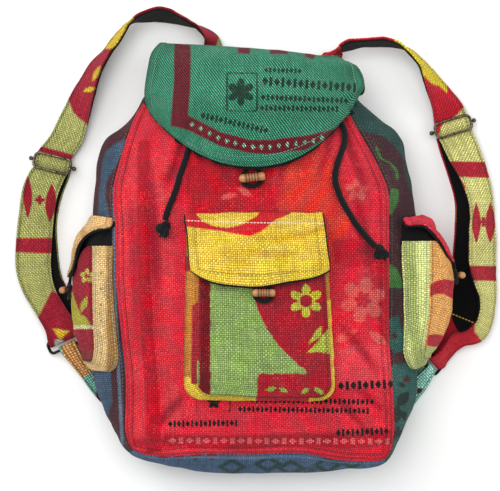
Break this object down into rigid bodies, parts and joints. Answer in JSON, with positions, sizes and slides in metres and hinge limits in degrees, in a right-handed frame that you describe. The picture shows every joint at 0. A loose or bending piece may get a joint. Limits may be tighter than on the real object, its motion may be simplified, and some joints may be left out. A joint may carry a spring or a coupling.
{
  "type": "backpack",
  "caption": "Stuffed rucksack sewn from printed rice sacks, with top flap, front and side pockets, drawcord and wooden toggles, lying on its back.",
  "frame": {"origin": "middle of the back panel, on the face that lies on the surface", "axes": "+X to the right of the bag as seen from its front, +Y towards the mouth, +Z out of the back panel towards the front pocket"},
  "size_m": [0.4916, 0.4707, 0.1667],
  "materials": {
    "maroon": "dark maroon sacking",
    "red": "printed red sacking",
    "blue": "blue sacking",
    "green": "printed green sacking",
    "black": "matt black cotton",
    "wood": "turned and lightly waxed",
    "crimson": "printed crimson sacking",
    "ochre": "ochre sacking",
    "yellow": "yellow sacking",
    "tan": "tan sacking",
    "orange": "orange sacking",
    "lime": "lime sacking",
    "bronze": "antique plated",
    "steel": "dark wire",
    "teal": "teal sacking"
  },
  "bodies": {
    "root": {"back_panel": "maroon", "front_panel": "red", "gusset_left": "maroon", "gusset_bottom": "blue", "gusset_right": "green", "top_flap": "green", "top_flap_lining": "black", "main_loop": "black", "main_toggle": "wood", "pocket_face": "crimson", "pocket_gusset": "ochre", "pocket_flap": "yellow", "pocket_flap_lining": "black", "pocket_loop": "black", "pocket_toggle": "wood", "left_pocket_face": "crimson", "left_pocket_gusset": "tan", "left_pocket_flap": "tan", "left_pocket_flap_lining": "black", "left_pocket_loop": "black", "left_pocket_toggle": "wood", "right_pocket_face": "orange", "right_pocket_gusset": "lime", "right_pocket_flap": "red", "right_pocket_flap_lining": "black", "right_pocket_loop": "black", "right_pocket_toggle": "wood", "left_strap": "lime", "left_strap_lining": "black", "left_tab": "orange", "left_slider_frame": "bronze", "left_slider_bar": "bronze", "left_ring": "steel", "right_strap": "red", "right_strap_lining": "black", "right_tab": "teal", "right_slider_frame": "bronze", "right_slider_bar": "bronze", "right_ring": "steel", "drawcord_left": "black", "drawcord_knot_left": "black", "drawcord_right": "black", "drawcord_knot_right": "black"}
  },
  "joints": []
}
